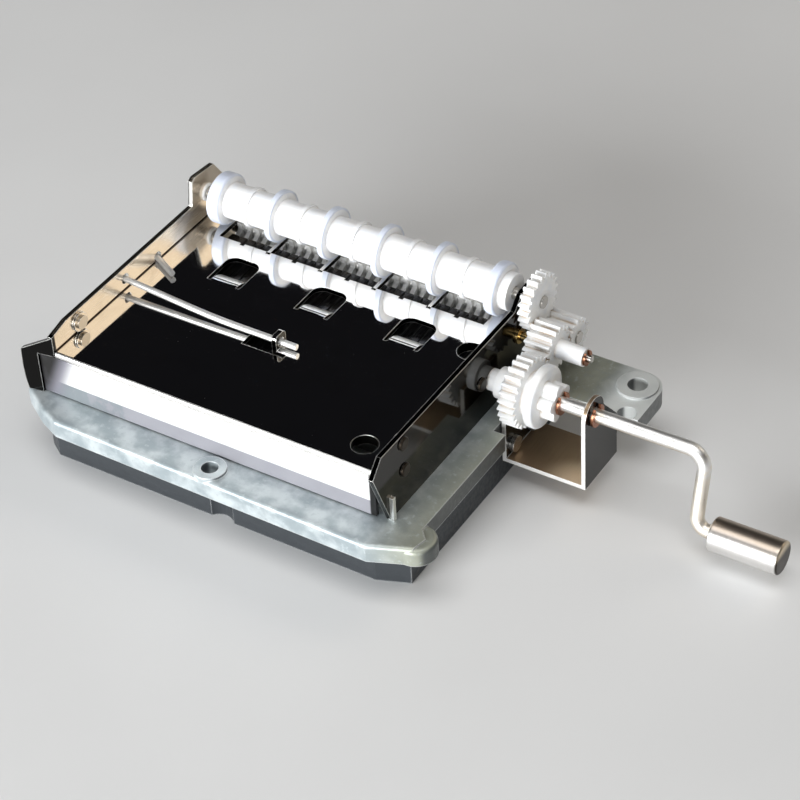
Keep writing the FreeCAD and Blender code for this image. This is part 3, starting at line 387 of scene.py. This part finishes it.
def table_nickel():
    """Mirror plated table with faint wipe marks, painted highlights on the tongues, front faces and cut
    edges, and painted shade in the tongues' creases and on the inner walls.
    """
    paint = Paint("table_nickel", metallic=1.0)
    colour = smudge_and_reflection_clouds(paint, TABLE_CLEAN, TABLE_TARNISH, amount=0.6)
    tongues = paint.times(paint.along("Z", TONGUE_TOP), paint.along("Y", TONGUE_BACK))
    # Painted highlight on the lanced tongues
    colour = paint.blend(tongues, colour, HIGHLIGHT_WHITE)
    crease = paint.times(paint.along("Y", CREASE_FRONT), paint.along("Y", CREASE_BACK))
    # Painted shade in the tongues' creases
    colour = paint.blend(paint.times(crease, tongues), colour, SHADE_AND_REFLECTION_BLACK)
    upright = paint.within(paint.combine("ABSOLUTE", paint.facing("Z")), STANDS_UPRIGHT)
    walls = paint.times(upright, paint.along("Y", BEHIND_TABLE_FRONT))
    # Painted shade on the upright walls behind the table's front edge
    colour = paint.blend(walls, colour, SHADE_AND_REFLECTION_DARK)
    # Painted highlight on the upright faces at the front
    colour = paint.blend(paint.minus(upright, walls), colour, HIGHLIGHT_WHITE)
    edge = paint.edges(radius=0.28)
    # Painted highlight along the cut edges
    colour = paint.blend(edge, colour, HIGHLIGHT_WHITE)
    wipe = paint.noise(size=0.5, stretch=(14, 1, 1))
    smear = paint.noise(size=11.0, shift=5.0)
    dust = paint.within(paint.cells(size=3.4, shift=3.0), (0.035, 0.02))
    gloss = paint.within(smear, (0.35, 0.75), 0.035, 0.085)
    gloss = paint.plus(gloss, paint.within(wipe, (0.5, 0.8), high=0.03))
    for rougher, amount in ((dust, 0.25), (tongues, 0.30), (edge, 0.25)):
        gloss = paint.plus(gloss, paint.times(rougher, amount))
    paint.rounded(radius=0.12)
    paint.raise_by(wipe, depth=0.0006)
    return paint.finish(colour, gloss)


def apron_nickel():
    """White satin strip, brushed along its length: a painted reflection in lilac and slate low down, and
    painted shade at both ends.
    """
    paint = Paint("apron_nickel", metallic=0.35)
    brushed = paint.noise(size=0.12, stretch=(90, 1, 1))
    colour = paint.blend(brushed, APRON_DARK, APRON_LIGHT)
    # Painted reflection in lilac and slate along the low band, slate toward the left, with a wandering border
    mottle = paint.within(paint.noise(size=2.2, detail=5.0, shift=7.0), (0.35, 0.65),
                          -APRON_MOTTLE * MM, APRON_MOTTLE * MM)
    cool = paint.between(paint.plus(paint.axis("X"), mottle), APRON_SLATE)
    colour = paint.blend(paint.along("Z", APRON_LOW, high=0.85), colour, paint.blend(cool, LILAC, SLATE))
    # Painted shade at the right end
    colour = paint.blend(paint.along("X", APRON_RIGHT_END), colour, SHADE_AND_REFLECTION_BLACK)
    # Painted shade on the left end, lilac then black, leaning with height
    slant = paint.plus(paint.axis("X"), paint.times(paint.axis("Z"), APRON_LEAN))
    for places, tone in ((APRON_LILAC_END, LILAC), (APRON_BLACK_END, SHADE_AND_REFLECTION_BLACK)):
        colour = paint.blend(paint.between(slant, places), colour, tone)
    colour = smudge_and_reflection_clouds(paint, colour, LILAC, amount=0.2)
    paint.rounded(radius=0.12)
    paint.raise_by(brushed, depth=0.0015)
    return paint.finish(colour, paint.vary(brushed, 0.30, 0.40))


def tan_nickel(paint, light, dark, gloss, outside):
    """Satin nickel in warm tones that are a painted reflection, brushed along Y, with painted highlights on
    front faces and cut edges, and a black painted reflection outside.
    """
    brushed = paint.noise(size=0.10, stretch=(1, 80, 1))
    colour = paint.blend(brushed, dark, light)
    colour = smudge_and_reflection_clouds(paint, colour, dark, amount=0.7)
    spots = paint.within(paint.cells(size=4.1, shift=8.0), (0.10, 0.03), high=0.5)
    colour = paint.blend(spots, colour, dark)
    # Painted highlight on faces that turn to the front
    colour = paint.blend(paint.toward("Y", FACES_FRONT), colour, HIGHLIGHT_WHITE)
    # Black painted reflection where the surroundings are dark
    colour = paint.blend(outside, colour, SHADE_AND_REFLECTION_BLACK)
    edge = paint.edges(radius=0.28)
    # Painted highlight along the cut edges
    colour = paint.blend(edge, colour, HIGHLIGHT_WHITE)
    paint.rounded(radius=0.12)
    paint.raise_by(brushed, depth=0.002)
    satin = paint.vary(brushed, gloss, gloss + 0.1)
    smoother = paint.minus(paint.times(outside, gloss * 0.7), paint.times(edge, 0.2))
    return paint.finish(colour, paint.minus(satin, smoother))


def left_plate_nickel():
    """Tan inside as a painted warm reflection, with a painted shadow line above the table. The guide wing and
    the outside are painted black as a dark reflection.
    """
    paint = Paint("left_plate_nickel", metallic=1.0)
    # Painted shadow line just above the table
    shadow_line = paint.times(paint.along("Z", SHADOW_LINE_TOP), paint.along("Z", SHADOW_LINE_BOTTOM))
    light = paint.blend(shadow_line, TAN_LIGHT, SHADOW_LINE_LIGHT)
    dark = paint.blend(shadow_line, TAN_DARK, SHADOW_LINE_DARK)
    # Black painted reflection on the guide wing and the outer face
    wing = paint.larger(paint.along("X", WING_SIDE), paint.along("Y", WING_FRONT))
    return tan_nickel(paint, light, dark, gloss=0.18, outside=wing)


def bracket_nickel():
    """Brown inside as a painted warm reflection, with a painted pool of warm light in the low front corner,
    and black on the right as a painted dark reflection.
    """
    paint = Paint("bracket_nickel", metallic=0.6)
    # Painted pool of warm light in the low front corner
    corner = paint.times(paint.times(paint.along("X", GLOW_ACROSS), paint.along("Z", GLOW_DOWN)),
                         paint.along("Y", GLOW_FORWARD))
    glow = paint.within(corner, (0.35, 0.95))
    light = paint.blend(glow, BROWN_LIGHT, GLOW_LIGHT)
    dark = paint.blend(glow, BROWN_DARK, GLOW_DARK)
    # Black painted reflection on faces that turn right
    return tan_nickel(paint, light, dark, gloss=0.30, outside=paint.toward("X", FACES_RIGHT))


def right_plate_nickel():
    """Mirror plate painted black as a dark reflection, with a faint painted warm reflection in clouds and
    painted highlights on its cut edges, front faces and front tab.
    """
    paint = Paint("right_plate_nickel", metallic=1.0)
    # Black painted reflection, clouded with a painted warm reflection
    colour = smudge_and_reflection_clouds(paint, SHADE_AND_REFLECTION_DARK, WARM_REFLECTION_CLOUD, amount=0.8)
    # Painted highlight on the front tab and on faces that turn to the front
    tab = paint.times(paint.along("X", TAB_SIDE), paint.along("Y", TAB_FRONT))
    bright = paint.larger(paint.toward("Y", FACES_STRAIGHT_FRONT), tab)
    colour = paint.blend(bright, colour, HIGHLIGHT_WHITE)
    # Painted highlight along the cut edges
    edge = paint.edges(radius=0.28)
    colour = paint.blend(edge, colour, HIGHLIGHT_WHITE)
    fine = paint.noise(size=0.14, stretch=(1, 40, 1))
    paint.rounded(radius=0.12)
    paint.raise_by(fine, depth=0.0006)
    gloss = paint.within(fine, (0.3, 0.8), 0.05, 0.12)
    return paint.finish(colour, paint.plus(gloss, paint.times(paint.larger(edge, bright), 0.25)))


def turned_metal(name, light, dark, gloss, metallic=1.0):
    """Lathe turned metal with rings about X, and painted shade in corners."""
    paint = Paint(name, metallic=metallic)
    rings = paint.noise(size=0.16, detail=2.0, stretch=(1, 40, 40))
    colour = paint.blend(rings, dark, light)
    # Painted shade in narrow corners
    colour = paint.blend(paint.times(paint.corners(reach=0.8), 0.6), colour, dark)
    paint.rounded(radius=0.08)
    paint.raise_by(rings, depth=0.003)
    return paint.finish(colour, paint.vary(rings, gloss, gloss + 0.12))


def wire_nickel():
    """Bright spring wire with faint cloudy plating."""
    paint = Paint("wire_nickel", metallic=0.7)
    cloud = paint.noise(size=1.2)
    colour = paint.blend(cloud, WIRE_DARK, WIRE_LIGHT)
    paint.raise_by(cloud, depth=0.002)
    return paint.finish(colour, paint.vary(cloud, 0.28, 0.36))


def crank_nickel():
    """Drawn rod: bright plating, a painted gold reflection in patches and low down, painted shade on its
    underside, and small worn patches.
    """
    paint = Paint("crank_nickel", metallic=1.0)
    drawn = paint.noise(size=1.6, detail=2.0, stretch=(4, 1, 1))
    colour = paint.blend(drawn, ROD_DARK, ROD_LIGHT)
    # Painted gold reflection in patches and on the low part of the rod
    gold_patches = paint.within(paint.noise(size=5.0, shift=2.0), (0.56, 0.70), high=0.5)
    colour = paint.blend(paint.larger(paint.along("Z", ROD_LOW, high=0.35), gold_patches), colour, ROD_GOLD_REFLECTION)
    # Painted shade on faces that turn down
    colour = paint.blend(paint.toward("Z", ROD_FACES_DOWN, high=0.75), colour, ROD_UNDER_SHADE)
    worn = paint.within(paint.noise(size=0.7, detail=4.0, shift=44.0), (0.66, 0.73), high=0.5)
    colour = paint.blend(worn, colour, ROD_WORN)
    paint.raise_by(worn, depth=0.003)
    return paint.finish(colour, paint.vary(drawn, 0.38, 0.46))


def knob_nickel():
    """Satin knob: fine turned rings, a painted brown reflection along its top, and painted shade on its end
    with a painted tan reflection at the end's top.
    """
    paint = Paint("knob_nickel", metallic=1.0)
    rings = paint.noise(size=0.09, stretch=(1, 30, 30))
    colour = paint.blend(rings, KNOB_DARK, KNOB_LIGHT)
    colour = smudge_and_reflection_clouds(paint, colour, KNOB_WARM, amount=0.5)
    # Painted brown reflection on faces that turn up
    colour = paint.blend(paint.toward("Z", KNOB_FACES_UP, high=0.8), colour, KNOB_TOP_REFLECTION)
    # Painted shade on the end face, with a painted tan reflection at its top
    end = paint.blend(paint.along("Z", KNOB_END_TOP), KNOB_END_SHADE, KNOB_END_TAN_REFLECTION)
    colour = paint.blend(paint.along("X", KNOB_END), colour, end)
    paint.rounded(radius=0.1)
    paint.raise_by(rings, depth=0.0012)
    return paint.finish(colour, paint.vary(rings, 0.30, 0.38))


def ring_share(paint):
    """How much of a point on the roller belongs to its rings, by its distance from the axis, for their
    painted shade.
    """
    across = paint.minus(paint.axis("Y"), ROLLER_AXIS[0] * MM)
    up = paint.minus(paint.axis("Z"), ROLLER_AXIS[1] * MM)
    square = paint.plus(paint.times(across, across), paint.times(up, up))
    return paint.between(paint.combine("SQRT", square), RING_OUTSIDE, high=0.75)


def nylon(name, milky, corner_shade_amount, glow, rings=False):
    """Moulded nylon: milky with cooler clouds, painted tan shade in corners and, on the roller, painted blue
    grey shade on its rings.
    """
    paint = Paint(name)
    clouds = paint.noise(size=3.0)
    colour = paint.blend(paint.within(clouds, (0.4, 0.7), high=0.6), milky, NYLON_COOL)
    # Painted tan shade in narrow corners, patchy with the clouds
    corner_shade = paint.times(paint.corners(reach=1.1), paint.within(clouds, (0.35, 0.6)))
    colour = paint.blend(paint.times(corner_shade, corner_shade_amount), colour, CORNER_SHADE_TAN)
    if rings:
        # Painted blue grey shade on the roller's rings
        colour = paint.blend(ring_share(paint), colour, NYLON_RING_SHADE)
    grain = paint.noise(size=0.22)
    paint.rounded(radius=0.12)
    paint.raise_by(paint.noise(size=1.6, detail=2.0, shift=9.0), depth=0.03)
    paint.raise_by(grain, depth=0.006)
    paint.surface.inputs["Subsurface Weight"].default_value = glow
    paint.surface.inputs["Subsurface Radius"].default_value = NYLON_SPREAD
    paint.surface.inputs["Subsurface Scale"].default_value = NYLON_DEPTH * MM
    return paint.finish(colour, paint.vary(grain, 0.28, 0.42))


def spring_steel():
    """Ground comb, coloured near black as painted shade under the table: lines along its teeth and straw
    coloured temper clouds.
    """
    paint = Paint("spring_steel", metallic=1.0)
    ground = paint.noise(size=0.10, stretch=(1, 70, 1))
    # Near black colours as painted shade under the table
    colour = paint.blend(ground, COMB_DARK, COMB_LIGHT)
    temper = paint.within(paint.noise(size=8.0, detail=2.0), (0.45, 0.7), high=0.5)
    colour = paint.blend(temper, colour, COMB_STRAW)
    paint.rounded(radius=0.05)
    paint.raise_by(ground, depth=0.003)
    return paint.finish(colour, paint.vary(ground, 0.22, 0.34))


def rivet_nickel():
    """Small turned heads with painted highlights on their rims, tan as a painted warm reflection, and almost
    black as a painted dark reflection on the right side plate.
    """
    paint = Paint("rivet_nickel", metallic=1.0)
    face = paint.noise(size=0.2)
    # Painted dark reflection for the rivets on the right side plate
    rivet_dark_reflection = paint.blend(face, SHADE_AND_REFLECTION_BLACK, RIVET_DARK_REFLECTION)
    colour = paint.blend(face, RIVET_DARK, RIVET_LIGHT)
    colour = paint.blend(paint.along("X", RIGHT_RIVETS), colour, rivet_dark_reflection)
    # Painted highlight on the rims
    colour = paint.blend(paint.edges(radius=0.15), colour, RIM_HIGHLIGHT)
    paint.rounded(radius=0.08)
    paint.raise_by(face, depth=0.003)
    return paint.finish(colour, paint.vary(face, 0.32, 0.42))


def cast_lead():
    """Dull lead with an oxide bloom and dents."""
    paint = Paint("cast_lead", metallic=0.7)
    bloom = paint.noise(size=0.6, detail=4.0)
    colour = paint.blend(bloom, LEAD_DARK, LEAD_LIGHT)
    paint.raise_by(bloom, depth=0.03)
    return paint.finish(colour, paint.vary(bloom, 0.5, 0.7))


def screw_steel():
    """Screw heads: turned faces with painted shade in the slots and painted highlights on the rims."""
    paint = Paint("screw_steel", metallic=1.0)
    face = paint.noise(size=0.16, detail=2.0)
    colour = paint.blend(face, SCREW_DARK, SCREW_LIGHT)
    # Painted highlight on the rims
    colour = paint.blend(paint.edges(radius=0.15), colour, RIM_HIGHLIGHT)
    # Painted shade in the slots and other narrow corners
    colour = paint.blend(paint.times(paint.corners(reach=0.6), 0.8), colour, SCREW_SLOT_SHADE)
    paint.rounded(radius=0.08)
    paint.raise_by(face, depth=0.004)
    return paint.finish(colour, paint.vary(face, 0.22, 0.36))


def dress_nodes():
    """Give each CAD node its finish."""
    gear = nylon("gear_nylon", NYLON, corner_shade_amount=0.9, glow=0.35)
    roller = nylon("roller_nylon", NYLON_ROLLER, corner_shade_amount=0.35, glow=0.45, rings=True)
    # Star wheels coloured near white, a painted highlight standing in for bright light on the steel
    star = turned_metal("star_steel", STAR_LIGHT, STAR_DARK, gloss=0.30, metallic=0.25)
    finishes = [
        (die_cast_zinc(), ["base_casting"]),
        (machined_zinc(), ["comb_rail"]),
        (table_nickel(), ["top_plate"]),
        (apron_nickel(), ["front_apron"]),
        (left_plate_nickel(), ["left_side_plate"]),
        (right_plate_nickel(), ["right_side_plate"]),
        (bracket_nickel(), ["gear_bracket"]),
        (rivet_nickel(), ["side_plate_rivets"]),
        (screw_steel(), ["frame_screws", "comb_screws", "bracket_screws"]),
        (spring_steel(), ["comb"]),
        (cast_lead(), ["comb_weights"]),
        (turned_metal("shaft_steel", SHAFT_LIGHT, SHAFT_DARK, gloss=0.16),
         ["drive_shaft", "roller_shaft", "idler_pin"]),
        (roller, ["press_roller"]),
        (gear, ["roller_gear", "drive_pinion", "idler_gear", "crank_gear",
                "roller_bushes", "drive_shaft_bushes", "crank_bush"]),
        (turned_metal("brass", BRASS_LIGHT, BRASS_DARK, gloss=0.16), ["idler_spacer"]),
        (turned_metal("clip_copper", COPPER_LIGHT, COPPER_DARK, gloss=0.22),
         ["roller_clip", "drive_shaft_clip", "idler_clip", "crank_clips"]),
        (crank_nickel(), ["crank_rod"]),
        (knob_nickel(), ["crank_knob"]),
        (wire_nickel(), ["paper_wire"]),
        (star, [f"star_wheels_{bay}" for bay in range(1, 6)]),
    ]
    for material, names in finishes:
        for name in names:
            mesh = NODES[name].data
            mesh.materials.clear()
            mesh.materials.append(material)


def make_floor():
    """Plain pale floor."""
    mesh = bpy.data.meshes.new("floor")
    signs = ((-1, -1), (1, -1), (1, 1), (-1, 1))
    corners = [(across * FLOOR_HALF, along * FLOOR_HALF, 0) for across, along in signs]
    mesh.from_pydata(corners, [], [(0, 1, 2, 3)])
    floor = bpy.data.objects.new("floor", mesh)
    bpy.context.scene.collection.objects.link(floor)
    paint = Paint("pale_floor")
    tone = paint.noise(size=60.0)
    colour = paint.blend(tone, FLOOR_DARK, FLOOR_LIGHT)
    mesh.materials.append(paint.finish(colour, paint.vary(tone, 0.50, 0.60)))


def make_lights():
    """Rectangular soft lights that point at the object."""
    for name, (place, size, power, colour) in LIGHTS.items():
        light = bpy.data.lights.new(name, "AREA")
        light.shape = "RECTANGLE"
        light.size, light.size_y = size
        light.energy = power
        light.color = colour
        lamp = bpy.data.objects.new(name, light)
        lamp.location = place
        lamp.rotation_euler = (LIGHT_TARGET - lamp.location).to_track_quat("-Z", "Y").to_euler()
        bpy.context.scene.collection.objects.link(lamp)


def make_world():
    """Pale walls near the horizon, dark above them."""
    world = bpy.data.worlds.new("studio")
    bpy.context.scene.world = world
    world.use_nodes = True
    nodes = world.node_tree.nodes
    links = world.node_tree.links
    direction = nodes.new("ShaderNodeTexCoord").outputs["Generated"]
    height = nodes.new("ShaderNodeSeparateXYZ")
    links.new(direction, height.inputs["Vector"])
    ramp = nodes.new("ShaderNodeValToRGB")
    for element, (position, colour) in zip(ramp.color_ramp.elements, (WALLS, OVERHEAD)):
        element.position = position
        element.color = colour
    links.new(height.outputs["Z"], ramp.inputs["Fac"])
    links.new(ramp.outputs["Color"], nodes["Background"].inputs["Color"])


def make_camera():
    """The photograph's camera."""
    data = bpy.data.cameras.new("camera")
    data.lens = CAMERA_LENS
    data.shift_x, data.shift_y = CAMERA_SHIFT
    data.clip_start, data.clip_end = CAMERA_CLIP
    camera = bpy.data.objects.new("camera", data)
    turn = Matrix((CAMERA_RIGHT, CAMERA_UP, CAMERA_BACK)).transposed().to_4x4()
    camera.matrix_world = Matrix.Translation(CAMERA_PLACE * MM) @ turn
    bpy.context.scene.collection.objects.link(camera)
    bpy.context.scene.camera = camera


bpy.context.scene.view_settings.view_transform = "Standard"
dress_nodes()
make_floor()
make_lights()
make_world()
make_camera()
